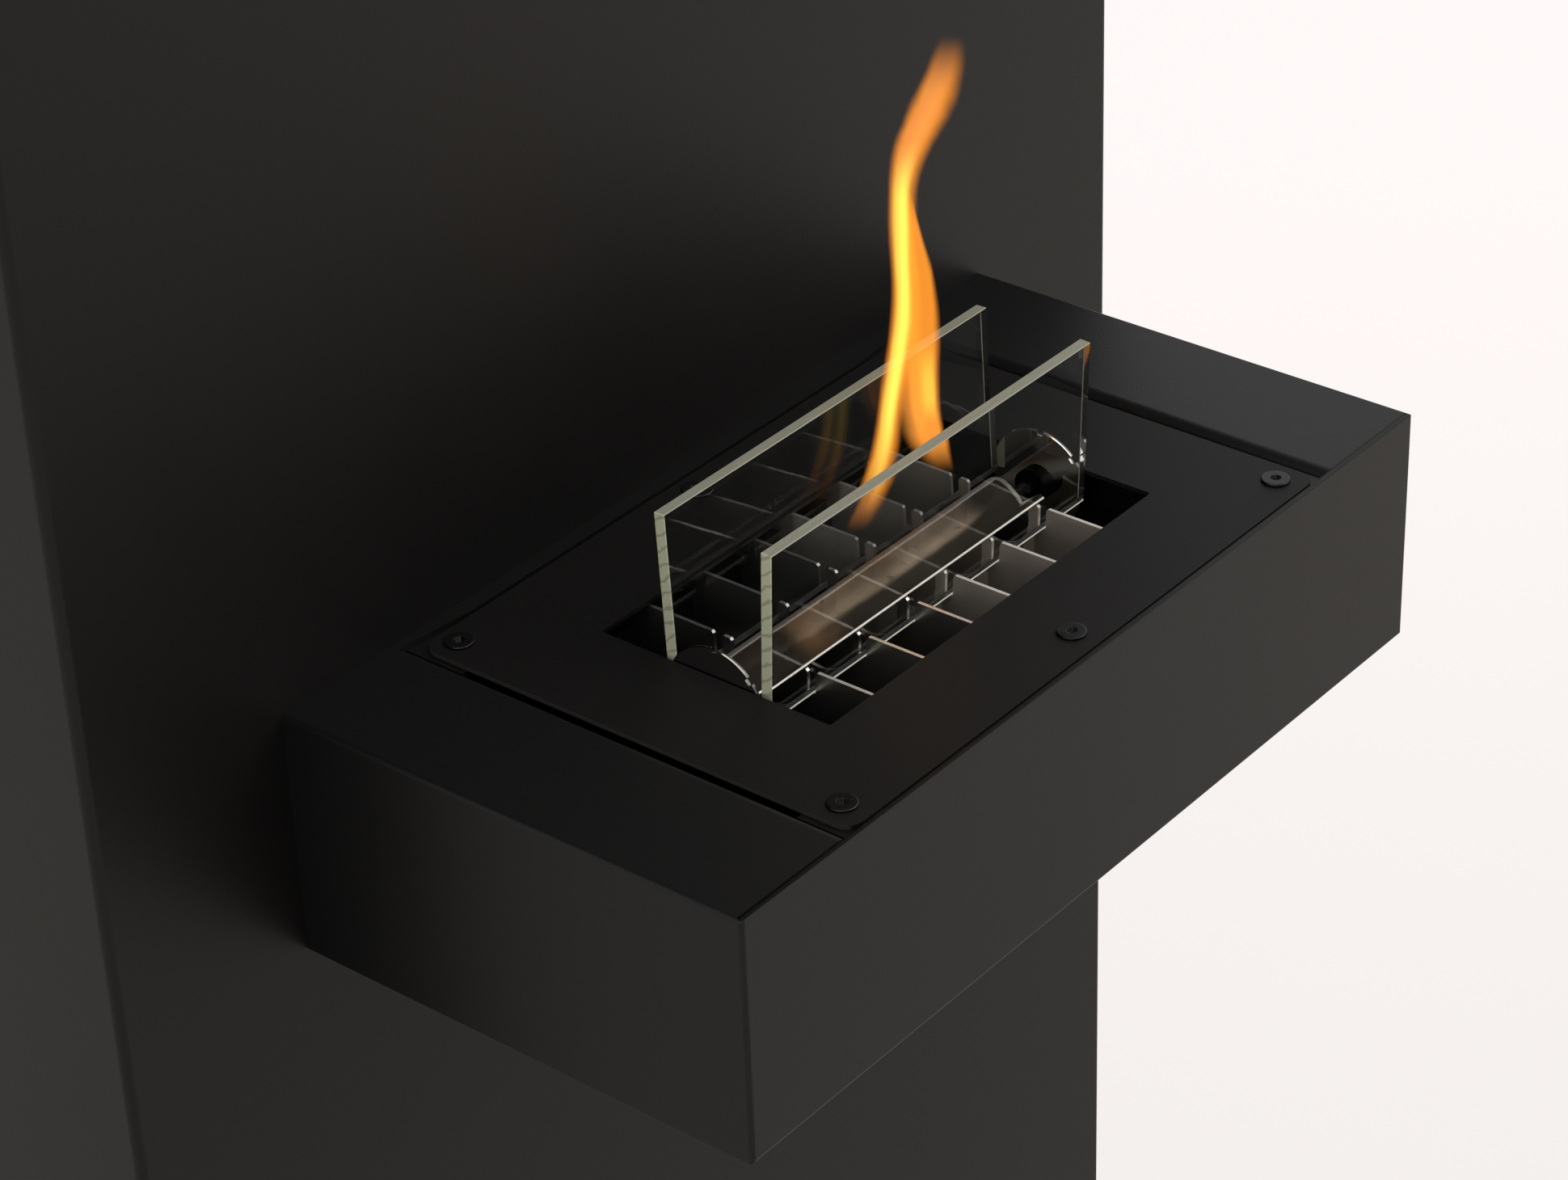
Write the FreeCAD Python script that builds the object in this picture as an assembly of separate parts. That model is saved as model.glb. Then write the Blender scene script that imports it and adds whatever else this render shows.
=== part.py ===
import FreeCAD
import Part
import math
import os

# A wall-hung fireplace with a liquid-fuel burner. A folded casing hangs on a wall rail and carries a
# shelf box. The burner is let into the top of the shelf: a cover plate over a tank, with six cross fins
# that hold two glass panes, and a turning regulator of two discs, a curved strip and an axle.
# Millimetres. X runs to the right as seen from the room, Y towards the wall, Z up. The origin is on the
# wall, in the middle of the rail's two screw holes.

overrun = 1.0
same = 0.000001

# Column casing
column_width = 500.0
column_height = 1000.0
column_depth = 100.0
column_sheet = 1.5
column_bend = 3.0
column_top_above_rail = 70.0

# Wall rail, screwed to the wall
rail_end_gap = 28.5
rail_sheet = 2.5
rail_foot = 28.0
rail_rise = 14.0
rail_step = 9.0
rail_lip = 16.0
rail_hole_radius = 3.5
rail_hole_inset = 30.0

# Hanger rail, welded into the casing and hooked behind the lip of the wall rail
hanger_sheet = 2.5
hanger_gap = 0.5
hanger_lift = 2.0
hanger_depth = 36.0
hanger_front_drop = 26.0

# Lower stay, a channel with two more wall screws
stay_sheet = 2.0
stay_height = 50.0
stay_depth = 30.0
stay_above_foot = 60.0
stay_hole_radius = 3.5
stay_hole_inset = 58.5

# Shelf box and the plate that closes it from below
shelf_below_column_top = 440.0
shelf_width = 347.0
shelf_depth = 175.0
shelf_height = 85.0
shelf_sheet = 2.0
shelf_bend = 1.6
shelf_rim_edge = 0.4
recess_width = 247.4
recess_rear_strip = 3.2
recess_rear_bulge = 2.8
recess_taper = 28.0
deck_bend = 4.0
deck_lip = 12.0
floor_sheet = 1.5
floor_gap = 0.5
floor_flange = 14.0

# Bolts between shelf and casing, in a tapped backing plate
bolt_radius = 3.0
bolt_clearance = 0.3
bolt_head_across = 10.0
bolt_head = 4.0
bolt_tip = 2.0
bolt_side_inset = 41.5
bolt_below_rim = 38.0
bolt_above_foot = 15.0
backing_sheet = 5.0
backing_margin = 16.0
thread_gap = 0.05

# Tapped ledges that carry the burner plate
ledge_sheet = 3.0
ledge_drop = 16.0
ledge_end_gap = 0.5
ledge_tank_gap = 2.0

# Burner plate and its screws
plate_recess = 0.5
plate_sheet = 1.5
plate_side_gap = 2.8
plate_front_gap = 1.1
plate_rear_gap = 1.0
plate_corner = 6.0
opening_end_gap = 0.45
opening_margin = 38.35
opening_corner = 1.0
burner_shift = -0.55
screw_radius = 2.5
screw_clearance = 0.25
screw_head_radius = 4.75
screw_head_top_radius = 4.3
screw_head = 0.9
screw_socket = 3.2
screw_socket_depth = 0.7
screw_tip = 1.5
screw_side_inset = 8.9
screw_front_inset = 10.1
screw_rear_inset = 7.6

# Tank below the plate
tank_sheet = 1.2
tank_end_overhang = 9.75
tank_side_overhang = 8.9
tank_depth = 48.9
tank_flange = 8.0

# Fins across the tank and the combs that hold them
fin_sheet = 1.2
fin_shares = (0.12125, 0.425, 0.7375)
fin_top_gap = 1.0
fin_end_gap = 0.5
fin_mouth = 23.8
fin_corner = 0.7
fin_gate_inner = 15.0
fin_gate_outer = 41.0
fin_gate_height = 14.0
fin_gate_slope = 8.0
comb_sheet = 3.0
comb_height = 24.0
comb_drop = 8.0
comb_seat_height = 6.0
comb_margin = 10.0
comb_clearance = 0.1

# Glass panes, which lean outwards in slots of the fins
glass_length = 160.0
glass_height = 58.5
glass_thickness = 4.0
glass_lean = 2.3
glass_foot_offset = 17.9
glass_foot_below_rim = 10.4
glass_clearance = 0.35

# Regulator, which turns about an axis along X
axis_below_rim = 9.3
disc_radius = 18.4
disc_sheet = 1.2
disc_gap = 0.6
notch_width = 2.4
notch_depth = 1.4
notch_angles = (91.0, 138.0)
strip_radius = 16.8
strip_sheet = 1.0
strip_top_angle = 101.0
strip_low_angle = 154.5
strip_short = 28.0
strip_tail = 9.4
strip_tail_angle = 146.0
strip_corner = 4.0
border_width = 1.7
border_height = 0.4
axle_radius = 3.0
axle_end = 2.0
axle_fit = 0.02
hub_radius = 6.0
hub_length = 5.0
bush_radius = 4.5
bush_tail = 1.0
bush_end_gap = 0.3
bush_clearance = 0.05

# Planes and places that the pieces share
column_top = column_top_above_rail
column_foot = column_top - column_height
column_front = -column_depth
column_inside = column_front + column_sheet
column_half = column_width / 2
column_half_inside = column_half - column_sheet
rail_half = column_half_inside - rail_end_gap
rim = column_top - shelf_below_column_top
shelf_front = column_front - shelf_depth
shelf_half = shelf_width / 2
shelf_foot = rim - shelf_height
shelf_half_inside = shelf_half - shelf_sheet
shelf_front_inside = shelf_front + shelf_sheet
shelf_rear_inside = column_front - shelf_sheet
recess_half = recess_width / 2
recess_rear = column_front - recess_rear_strip
bolt_x = shelf_half_inside - bolt_side_inset
bolt_rows = (shelf_foot + bolt_above_foot, rim - bolt_below_rim)
plate_top = rim - plate_recess
plate_under = plate_top - plate_sheet
plate_half = recess_half - plate_side_gap
plate_front = shelf_front_inside + plate_front_gap
plate_rear = recess_rear - recess_rear_bulge - plate_rear_gap
screw_x = plate_half - screw_side_inset
screw_front = plate_front + screw_front_inset
screw_rear = plate_rear - screw_rear_inset
burner_y = (plate_front + plate_rear) / 2 + burner_shift
disc_inner = glass_length / 2 + disc_gap
disc_outer = disc_inner + disc_sheet
opening_half = disc_outer + opening_end_gap
opening_half_width = (plate_rear - plate_front) / 2 - opening_margin
tank_half = opening_half + tank_end_overhang
tank_half_width = opening_half_width + tank_side_overhang
tank_floor = plate_under - tank_depth
fin_top = plate_under - fin_top_gap
fin_places = [side * share * glass_length / 2 for share in fin_shares for side in (-1, 1)]
comb_top = fin_top - comb_drop
comb_foot = comb_top - comb_height
comb_seat = comb_foot + comb_seat_height
axis_z = rim - axis_below_rim


def block(x0, x1, y0, y1, z0, z1):
    """A box between two planes on each axis, given in either order."""
    x0, x1 = sorted((x0, x1))
    y0, y1 = sorted((y0, y1))
    return Part.makeBox(x1 - x0, y1 - y0, z1 - z0, FreeCAD.Vector(x0, y0, z0))


def rod(radius, start, end):
    """A cylinder from one point to another."""
    line = FreeCAD.Vector(*end) - FreeCAD.Vector(*start)
    return Part.makeCylinder(radius, line.Length, FreeCAD.Vector(*start), line)


def prism(points, along):
    """A polygon, closed and pulled along a vector."""
    corners = [FreeCAD.Vector(*p) for p in points]
    return Part.Face(Part.makePolygon(corners + corners[:1])).extrude(FreeCAD.Vector(*along))


def profile_x(outline, x0, x1):
    """An outline of (y, z) points pulled along X."""
    return prism([(x0, y, z) for y, z in outline], (x1 - x0, 0, 0))


def profile_z(outline, z0, z1):
    """An outline of (x, y) points pulled along Z."""
    return prism([(x, y, z0) for x, y in outline], (0, 0, z1 - z0))


def hexagon_ring(across):
    """The corners of a hexagon, as pairs."""
    radius = across / math.sqrt(3)
    turns = [math.radians(60 * i) for i in range(6)]
    return [(radius * math.cos(t), radius * math.sin(t)) for t in turns]


def near(a, b):
    """Whether two places are the same."""
    return abs(a - b) < same


def picked(shape, wanted):
    """The edges that the test picks by their two end points."""
    return [e for e in shape.Edges if len(e.Vertexes) == 2 and wanted(*(v.Point for v in e.Vertexes))]


def upright(a, b):
    """Whether an edge rises between its ends."""
    return not near(a.z, b.z)


def joined(*shapes):
    """Touching shapes of one piece as one solid."""
    return shapes[0].fuse(list(shapes[1:])).removeSplitter()


def save(name, *solids):
    """Writes one node."""
    shape = solids[0] if len(solids) == 1 else Part.makeCompound(list(solids))
    shape.exportStep("parts/" + name + ".step")


def bolt_holes(radius, y0, y1):
    """Four holes on the shelf bolts."""
    return [rod(radius, (x, y0 - overrun, z), (x, y1 + overrun, z))
            for x in (-bolt_x, bolt_x) for z in bolt_rows]


def screw_holes(radius, z0, z1):
    """Six holes on the plate screws."""
    return [rod(radius, (x, y, z0 - overrun), (x, y, z1 + overrun)) for x, y in screw_places()]


def screw_places():
    """Three plate screws along the front and three along the back."""
    return [(x, y) for y in (screw_front, screw_rear) for x in (-screw_x, 0, screw_x)]


def casing_tray(inset, back, radius):
    """A block with rounded front edges, set in from the casing's outside."""
    front = column_front + inset
    half = column_half - inset
    body = block(-half, half, front, back, column_foot + inset, column_top - inset)
    return body.makeFillet(radius, picked(body, lambda a, b: near(a.y, front) and near(b.y, front)))


def column_casing():
    """A tray folded from one sheet, open to the wall."""
    hollow = casing_tray(column_sheet, overrun, column_bend - column_sheet)
    casing = casing_tray(0, 0, column_bend).cut(hollow)
    return casing.cut(bolt_holes(bolt_radius + bolt_clearance, column_front, column_inside))


def wall_rail():
    """A strip with a step and a lip that stands clear of the wall."""
    lip_top = rail_rise + rail_lip
    outline = [
        (0, -rail_foot),
        (0, rail_rise + rail_sheet),
        (rail_sheet - rail_step, rail_rise + rail_sheet),
        (rail_sheet - rail_step, lip_top),
        (-rail_step, lip_top),
        (-rail_step, rail_rise),
        (-rail_sheet, rail_rise),
        (-rail_sheet, -rail_foot),
    ]
    hole_x = rail_half - rail_hole_inset
    holes = [rod(rail_hole_radius, (x, -rail_sheet - overrun, 0), (x, overrun, 0)) for x in (-hole_x, hole_x)]
    return profile_x(outline, -rail_half, rail_half).cut(holes)


def hanger_rail():
    """A channel across the casing. Its back leg hooks down behind the lip and stands on the step."""
    hook_front = rail_sheet - rail_step + hanger_gap
    hook_back = hook_front + hanger_sheet
    under = rail_rise + rail_lip + hanger_lift
    top = under + hanger_sheet
    outline = [
        (hook_back, rail_rise + rail_sheet),
        (hook_back, top),
        (-hanger_depth, top),
        (-hanger_depth, top - hanger_front_drop),
        (hanger_sheet - hanger_depth, top - hanger_front_drop),
        (hanger_sheet - hanger_depth, under),
        (hook_front, under),
        (hook_front, rail_rise + rail_sheet),
    ]
    return profile_x(outline, -column_half_inside, column_half_inside)


def lower_stay():
    """A channel across the foot of the casing, flat on the wall, with two screw holes."""
    low = column_foot + stay_above_foot
    high = low + stay_height
    outline = [
        (0, low),
        (0, high),
        (-stay_depth, high),
        (-stay_depth, high - stay_sheet),
        (-stay_sheet, high - stay_sheet),
        (-stay_sheet, low + stay_sheet),
        (-stay_depth, low + stay_sheet),
        (-stay_depth, low),
    ]
    middle = (low + high) / 2
    hole_x = column_half_inside - stay_hole_inset
    holes = [rod(stay_hole_radius, (x, -stay_sheet - overrun, middle), (x, overrun, middle))
             for x in (-hole_x, hole_x)]
    return profile_x(outline, -column_half_inside, column_half_inside).cut(holes)


def backing_plate():
    """A tapped plate inside the casing, which spreads the load of the shelf."""
    half = bolt_x + backing_margin
    back = column_inside + backing_sheet
    plate = block(-half, half, column_inside, back,
                  bolt_rows[0] - backing_margin, bolt_rows[1] + backing_margin)
    return plate.cut(bolt_holes(bolt_radius + thread_gap, column_inside, back))


def shelf_bolt(x, z):
    """A hexagon bolt from inside the shelf, through its wall and the casing into the backing plate."""
    tip = column_inside + backing_sheet + bolt_tip
    ring = [(x + u, shelf_rear_inside, z + v) for u, v in hexagon_ring(bolt_head_across)]
    head = prism(ring, (0, -bolt_head, 0))
    return joined(head, rod(bolt_radius, (x, shelf_rear_inside, z), (x, tip, z)))


def shelf_body():
    """A folded box with two top decks. Their inner edges are turned down beside the recess."""
    body = block(-shelf_half, shelf_half, shelf_front, column_front, shelf_foot, rim)
    folds = picked(body, lambda a, b: near(a.y, shelf_front) and near(b.y, shelf_front)
                   and not (near(a.z, rim) and near(b.z, rim)))
    folds += picked(body, lambda a, b: near(a.z, rim) and near(b.z, rim) and not near(a.y, b.y))
    body = body.makeFillet(shelf_bend, folds)
    body = body.makeFillet(shelf_rim_edge, picked(body, lambda a, b: near(a.z, rim) and near(b.z, rim)
                                                  and near(a.y, shelf_front) and near(b.y, shelf_front)))
    deck_under = rim - shelf_sheet
    bend_low = rim - deck_bend
    inside = block(-shelf_half_inside, shelf_half_inside, shelf_front_inside, shelf_rear_inside,
                   shelf_foot - overrun, deck_under)
    bulge = recess_half - recess_taper
    outline = [
        (-recess_half, shelf_front_inside),
        (recess_half, shelf_front_inside),
        (recess_half, recess_rear),
        (bulge, recess_rear - recess_rear_bulge),
        (-bulge, recess_rear - recess_rear_bulge),
        (-recess_half, recess_rear),
    ]
    recess = profile_z(outline, deck_under - overrun, rim + overrun)
    corners, lips = [], []
    for side in (-1, 1):
        edge, middle = side * recess_half, side * (recess_half + deck_bend)
        corner = block(edge, middle, shelf_front_inside, recess_rear, bend_low, rim)
        front_end, rear_end = (middle, shelf_front_inside, bend_low), (middle, recess_rear, bend_low)
        outside, inside_bend = [rod(radius, front_end, rear_end)
                                for radius in (deck_bend, deck_bend - shelf_sheet)]
        corners.append(corner)
        lips.append(corner.common(outside).cut(inside_bend))
        lips.append(block(edge, edge + side * shelf_sheet, shelf_front_inside, recess_rear,
                          deck_under - deck_lip, bend_low))
    flange_low = shelf_foot + floor_sheet
    flange_high = flange_low + shelf_sheet
    flange = block(-shelf_half_inside, shelf_half_inside, shelf_front_inside, shelf_rear_inside,
                   flange_low, flange_high)
    hole_half = shelf_half_inside - floor_flange
    hole = block(-hole_half, hole_half, shelf_front_inside + floor_flange, shelf_rear_inside - floor_flange,
                 flange_low - overrun, flange_high + overrun)
    shell = joined(body.cut([inside, recess] + corners), flange.cut(hole), *lips)
    return shell.cut(bolt_holes(bolt_radius + bolt_clearance, shelf_rear_inside, column_front))


def shelf_floor():
    """The plate welded under the flange of the shelf, flush with its walls."""
    half = shelf_half_inside - floor_gap
    return block(-half, half, shelf_front_inside + floor_gap, shelf_rear_inside - floor_gap,
                 shelf_foot, shelf_foot + floor_sheet)


def ledge(wall, side):
    """An angle along a wall of the shelf, under the plate, with three tapped holes."""
    half = recess_half - ledge_end_gap
    low = plate_under - ledge_sheet
    inner = burner_y + side * (tank_half_width + tank_sheet + tank_flange + ledge_tank_gap)
    outline = [
        (wall, plate_under),
        (inner, plate_under),
        (inner, low),
        (wall - side * ledge_sheet, low),
        (wall - side * ledge_sheet, plate_under - ledge_drop),
        (wall, plate_under - ledge_drop),
    ]
    return profile_x(outline, -half, half).cut(screw_holes(screw_radius + thread_gap, low, plate_under))


def burner_plate():
    """The cover plate with rounded corners, the long opening and six screw holes."""
    plate = block(-plate_half, plate_half, plate_front, plate_rear, plate_under, plate_top)
    opening = block(-opening_half, opening_half, burner_y - opening_half_width, burner_y + opening_half_width,
                    plate_under - overrun, plate_top + overrun)
    plate = plate.makeFillet(plate_corner, picked(plate, upright))
    opening = opening.makeFillet(opening_corner, picked(opening, upright))
    return plate.cut([opening] + screw_holes(screw_radius + screw_clearance, plate_under, plate_top))


def plate_screw(x, y):
    """A screw with a low flat head and a hexagon socket."""
    top = plate_top + screw_head
    head = Part.makeCone(screw_head_radius, screw_head_top_radius, screw_head,
                         FreeCAD.Vector(x, y, plate_top))
    socket = prism([(x + u, y + v, top) for u, v in hexagon_ring(screw_socket)], (0, 0, -screw_socket_depth))
    tip = plate_under - ledge_sheet - screw_tip
    return joined(head.cut(socket), rod(screw_radius, (x, y, tip), (x, y, plate_top)))


def burner_tank():
    """A pan with a flange that is welded under the plate, and a bush hole in each end."""
    end, side = tank_half + tank_sheet, tank_half_width + tank_sheet
    flange_end, flange_side = end + tank_flange, side + tank_flange
    flange = block(-flange_end, flange_end, burner_y - flange_side, burner_y + flange_side,
                   plate_under - tank_sheet, plate_under)
    outer = block(-end, end, burner_y - side, burner_y + side, tank_floor - tank_sheet, plate_under)
    inner = block(-tank_half, tank_half, burner_y - tank_half_width, burner_y + tank_half_width,
                  tank_floor, plate_under + overrun)
    bush_bore = rod(bush_radius, (-end - overrun, burner_y, axis_z), (end + overrun, burner_y, axis_z))
    return joined(flange, outer).cut([inner, bush_bore])


def pane_outline(side, clearance):
    """The section of a pane, or of its slot: a leaning bar that stands on its foot."""
    lean = math.radians(glass_lean)
    up = (side * math.sin(lean), math.cos(lean))
    out = (side * math.cos(lean), -math.sin(lean))
    foot = (burner_y + side * glass_foot_offset, rim - glass_foot_below_rim)
    half = glass_thickness / 2 + clearance
    ends = [(-half, 0), (half, 0), (half, glass_height), (-half, glass_height)]
    return [(foot[0] + w * out[0] + h * up[0], foot[1] + w * out[1] + h * up[1]) for w, h in ends]


def pane(side):
    """A glass pane."""
    return profile_x(pane_outline(side, 0), -glass_length / 2, glass_length / 2)


def fin(x):
    """A cross plate with two glass slots, a round-bottomed mouth for the axle and two gates at its foot."""
    half = tank_half_width - fin_end_gap
    x0, x1 = x - fin_sheet / 2, x + fin_sheet / 2
    plate = block(x0, x1, burner_y - half, burner_y + half, tank_floor, fin_top)
    mouth_half = fin_mouth / 2
    cuts = [block(x0, x1, burner_y - mouth_half, burner_y + mouth_half, axis_z, fin_top + overrun),
            rod(mouth_half, (x0, burner_y, axis_z), (x1, burner_y, axis_z))]
    gate = [
        (fin_gate_inner, -overrun),
        (fin_gate_outer, -overrun),
        (fin_gate_outer, fin_gate_height - fin_gate_slope),
        (fin_gate_outer - fin_gate_slope, fin_gate_height),
        (fin_gate_inner + fin_gate_slope, fin_gate_height),
        (fin_gate_inner, fin_gate_height - fin_gate_slope),
    ]
    for side in (-1, 1):
        cuts.append(profile_x(pane_outline(side, glass_clearance), x0, x1))
        cuts.append(profile_x([(burner_y + side * out, tank_floor + up) for out, up in gate], x0, x1))
        wall = burner_y + side * tank_half_width
        lap = wall - side * (comb_sheet + comb_clearance)
        cuts.append(block(x0, x1, wall, lap, tank_floor - overrun, comb_seat))
    plate = plate.cut(cuts)
    corners = picked(plate, lambda a, b: near(a.z, fin_top) and near(b.z, fin_top) and near(a.y, b.y)
                     and not near(abs(a.y - burner_y), half))
    return plate.makeChamfer(fin_corner, corners)


def comb(side):
    """A bar on a long wall of the tank with a slot for the end of each fin."""
    half = max(fin_places) + comb_margin
    wall = burner_y + side * tank_half_width
    face = wall - side * comb_sheet
    slot_half = fin_sheet / 2 + comb_clearance
    slots = [block(x - slot_half, x + slot_half, wall + side * overrun, face - side * overrun,
                   comb_seat, comb_top + overrun) for x in fin_places]
    return block(-half, half, wall, face, comb_foot, comb_top).cut(slots)


def ring_point(x, radius, angle):
    """The point at an angle about the regulator's axis, counted from the wall side over the top."""
    turn = math.radians(angle)
    return FreeCAD.Vector(x, burner_y + radius * math.cos(turn), axis_z + radius * math.sin(turn))


def arc_bar(inner, outer, start, end, x0, x1):
    """Part of a tube wall between two radii and two angles, pulled along X."""
    middle = (start + end) / 2
    outside = [ring_point(x0, outer, angle) for angle in (start, middle, end)]
    inside = [ring_point(x0, inner, angle) for angle in (end, middle, start)]
    edges = [
        Part.Arc(*outside).toShape(),
        Part.makeLine(outside[-1], inside[0]),
        Part.Arc(*inside).toShape(),
        Part.makeLine(inside[-1], outside[0]),
    ]
    return Part.Face(Part.Wire(edges)).extrude(FreeCAD.Vector(x1 - x0, 0, 0))


def axis_rod(radius, x0, x1):
    """A cylinder on the regulator's axis."""
    return rod(radius, (x0, burner_y, axis_z), (x1, burner_y, axis_z))


def sleeve(radius, bore, start, end):
    """A ring on the regulator's axis, between two places in either order."""
    x0, x1 = sorted((start, end))
    return axis_rod(radius, x0, x1).cut(axis_rod(bore, x0 - overrun, x1 + overrun))


def disc(side):
    """An end disc with a bore for the axle and notches in its rim."""
    x0, x1 = sorted((side * disc_inner, side * disc_outer))
    spread = math.degrees(notch_width / disc_radius) / 2
    notches = [arc_bar(disc_radius - notch_depth, disc_radius + overrun, angle - spread, angle + spread,
                       x0 - overrun, x1 + overrun) for angle in notch_angles]
    return sleeve(disc_radius, axle_radius + axle_fit, x0, x1).cut(notches)


def regulator_strip():
    """A curved strip welded to the left disc. It has a raised border and ends in a narrow tail."""
    start = -disc_inner
    reach = disc_inner - strip_short
    tail = reach + strip_tail
    inner = strip_radius - strip_sheet
    outer = strip_radius + border_height
    main = arc_bar(inner, outer, strip_top_angle, strip_tail_angle, start, reach)
    top_ends = (ring_point(reach, inner, strip_top_angle), ring_point(reach, outer, strip_top_angle))
    corner = picked(main, lambda a, b: all(min(a.distanceToPoint(p), b.distanceToPoint(p)) < same
                                           for p in top_ends))
    main = main.makeFillet(strip_corner, corner)
    low = arc_bar(inner, outer, strip_tail_angle, strip_low_angle, start, tail)
    border_angle = math.degrees(border_width / strip_radius)
    field = arc_bar(strip_radius, outer + overrun, strip_top_angle + border_angle, strip_tail_angle,
                    start - overrun, reach - border_width)
    low_field = arc_bar(strip_radius, outer + overrun, strip_tail_angle, strip_low_angle + border_angle,
                        start - overrun, tail + overrun)
    return joined(main, low).cut([field, low_field])


def axle():
    """The rod through both discs and both bushes."""
    end = tank_half + tank_sheet + bush_tail + axle_end
    return axis_rod(axle_radius, -end, end)


def collar(side):
    """The hub that holds a disc on the axle."""
    return sleeve(hub_radius, axle_radius + axle_fit, side * disc_inner, side * (disc_inner - hub_length))


def bush(side):
    """A bearing pressed into an end wall of the tank, long enough to keep the disc in place."""
    tail = tank_half + tank_sheet + bush_tail
    return sleeve(bush_radius, axle_radius + bush_clearance, side * (disc_outer + bush_end_gap), side * tail)


os.makedirs("parts", exist_ok=True)
save("column_casing", column_casing())
save("wall_rail", wall_rail())
save("hanger_rail", hanger_rail())
save("lower_stay", lower_stay())
save("backing_plate", backing_plate())
save("shelf_body", shelf_body())
save("shelf_floor", shelf_floor())
save("shelf_bolts", *[shelf_bolt(x, z) for x in (-bolt_x, bolt_x) for z in bolt_rows])
save("front_ledge", ledge(shelf_front_inside, -1))
save("rear_ledge", ledge(shelf_rear_inside, 1))
save("burner_tank", burner_tank())
save("burner_plate", burner_plate())
save("plate_screws", *[plate_screw(x, y) for x, y in screw_places()])
save("front_comb", comb(-1))
save("rear_comb", comb(1))
for number, place in enumerate(sorted(fin_places), start=1):
    save("fin_" + str(number), fin(place))
save("front_glass", pane(-1))
save("rear_glass", pane(1))
save("left_disc", disc(-1))
save("right_disc", disc(1))
save("regulator_strip", regulator_strip())
save("regulator_axle", axle())
save("axle_collars", collar(-1), collar(1))
save("axle_bushes", bush(-1), bush(1))
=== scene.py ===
import math

import bpy
import numpy as np
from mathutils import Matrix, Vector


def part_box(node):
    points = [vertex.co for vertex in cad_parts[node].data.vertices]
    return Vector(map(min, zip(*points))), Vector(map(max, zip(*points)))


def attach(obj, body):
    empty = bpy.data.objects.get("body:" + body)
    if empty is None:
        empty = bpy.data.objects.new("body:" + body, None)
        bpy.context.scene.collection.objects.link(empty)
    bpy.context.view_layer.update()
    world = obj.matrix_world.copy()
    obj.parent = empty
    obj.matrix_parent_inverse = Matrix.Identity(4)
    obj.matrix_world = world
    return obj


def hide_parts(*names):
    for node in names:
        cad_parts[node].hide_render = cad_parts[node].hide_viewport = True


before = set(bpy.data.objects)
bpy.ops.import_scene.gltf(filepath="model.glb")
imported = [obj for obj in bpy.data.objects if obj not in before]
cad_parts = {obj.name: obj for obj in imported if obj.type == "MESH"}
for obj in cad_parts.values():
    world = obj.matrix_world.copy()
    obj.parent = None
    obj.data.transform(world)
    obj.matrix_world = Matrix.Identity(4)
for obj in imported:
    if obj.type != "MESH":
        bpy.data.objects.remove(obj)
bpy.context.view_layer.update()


# Wall rail, hanger rail, lower stay, backing plate and shelf bolts
# Rolled steel strip, folded or drilled, with a dull zinc plating. The rail and the stay are screwed to
# the wall, and the casing hooks on to the rail, so all of it is out of sight in use.
class Value:
    """A number that changes over a surface. Arithmetic on it adds Math nodes to the material."""

    def __init__(self, finish, socket):
        self.finish, self.socket = finish, socket

    def math(self, operation, *others):
        """One Math node on this value and any others."""
        return self.finish.node("ShaderNodeMath", {"operation": operation}, dict(enumerate((self,) + others)))

    def __add__(self, other):
        return self.math("ADD", other)

    __radd__ = __add__

    def __mul__(self, other):
        return self.math("MULTIPLY", other)

    __rmul__ = __mul__

    def __sub__(self, other):
        return self.math("SUBTRACT", other)

    def __rsub__(self, other):
        return self.finish.node("ShaderNodeMath", {"operation": "SUBTRACT"}, {0: other, 1: self})

    def __pow__(self, other):
        return self.math("POWER", other)

    def __abs__(self):
        return self.math("ABSOLUTE")

    def capped(self, most=1.0):
        """The value itself, but never more than the most."""
        return self.math("MINIMUM", most)

    def between(self, low, high):
        """0 below low, 1 above high and a smooth rise in between."""
        ends = {"Value": self, "From Min": low, "From Max": high}
        return self.finish.node("ShaderNodeMapRange", {"interpolation_type": "SMOOTHSTEP"}, ends)


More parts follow.
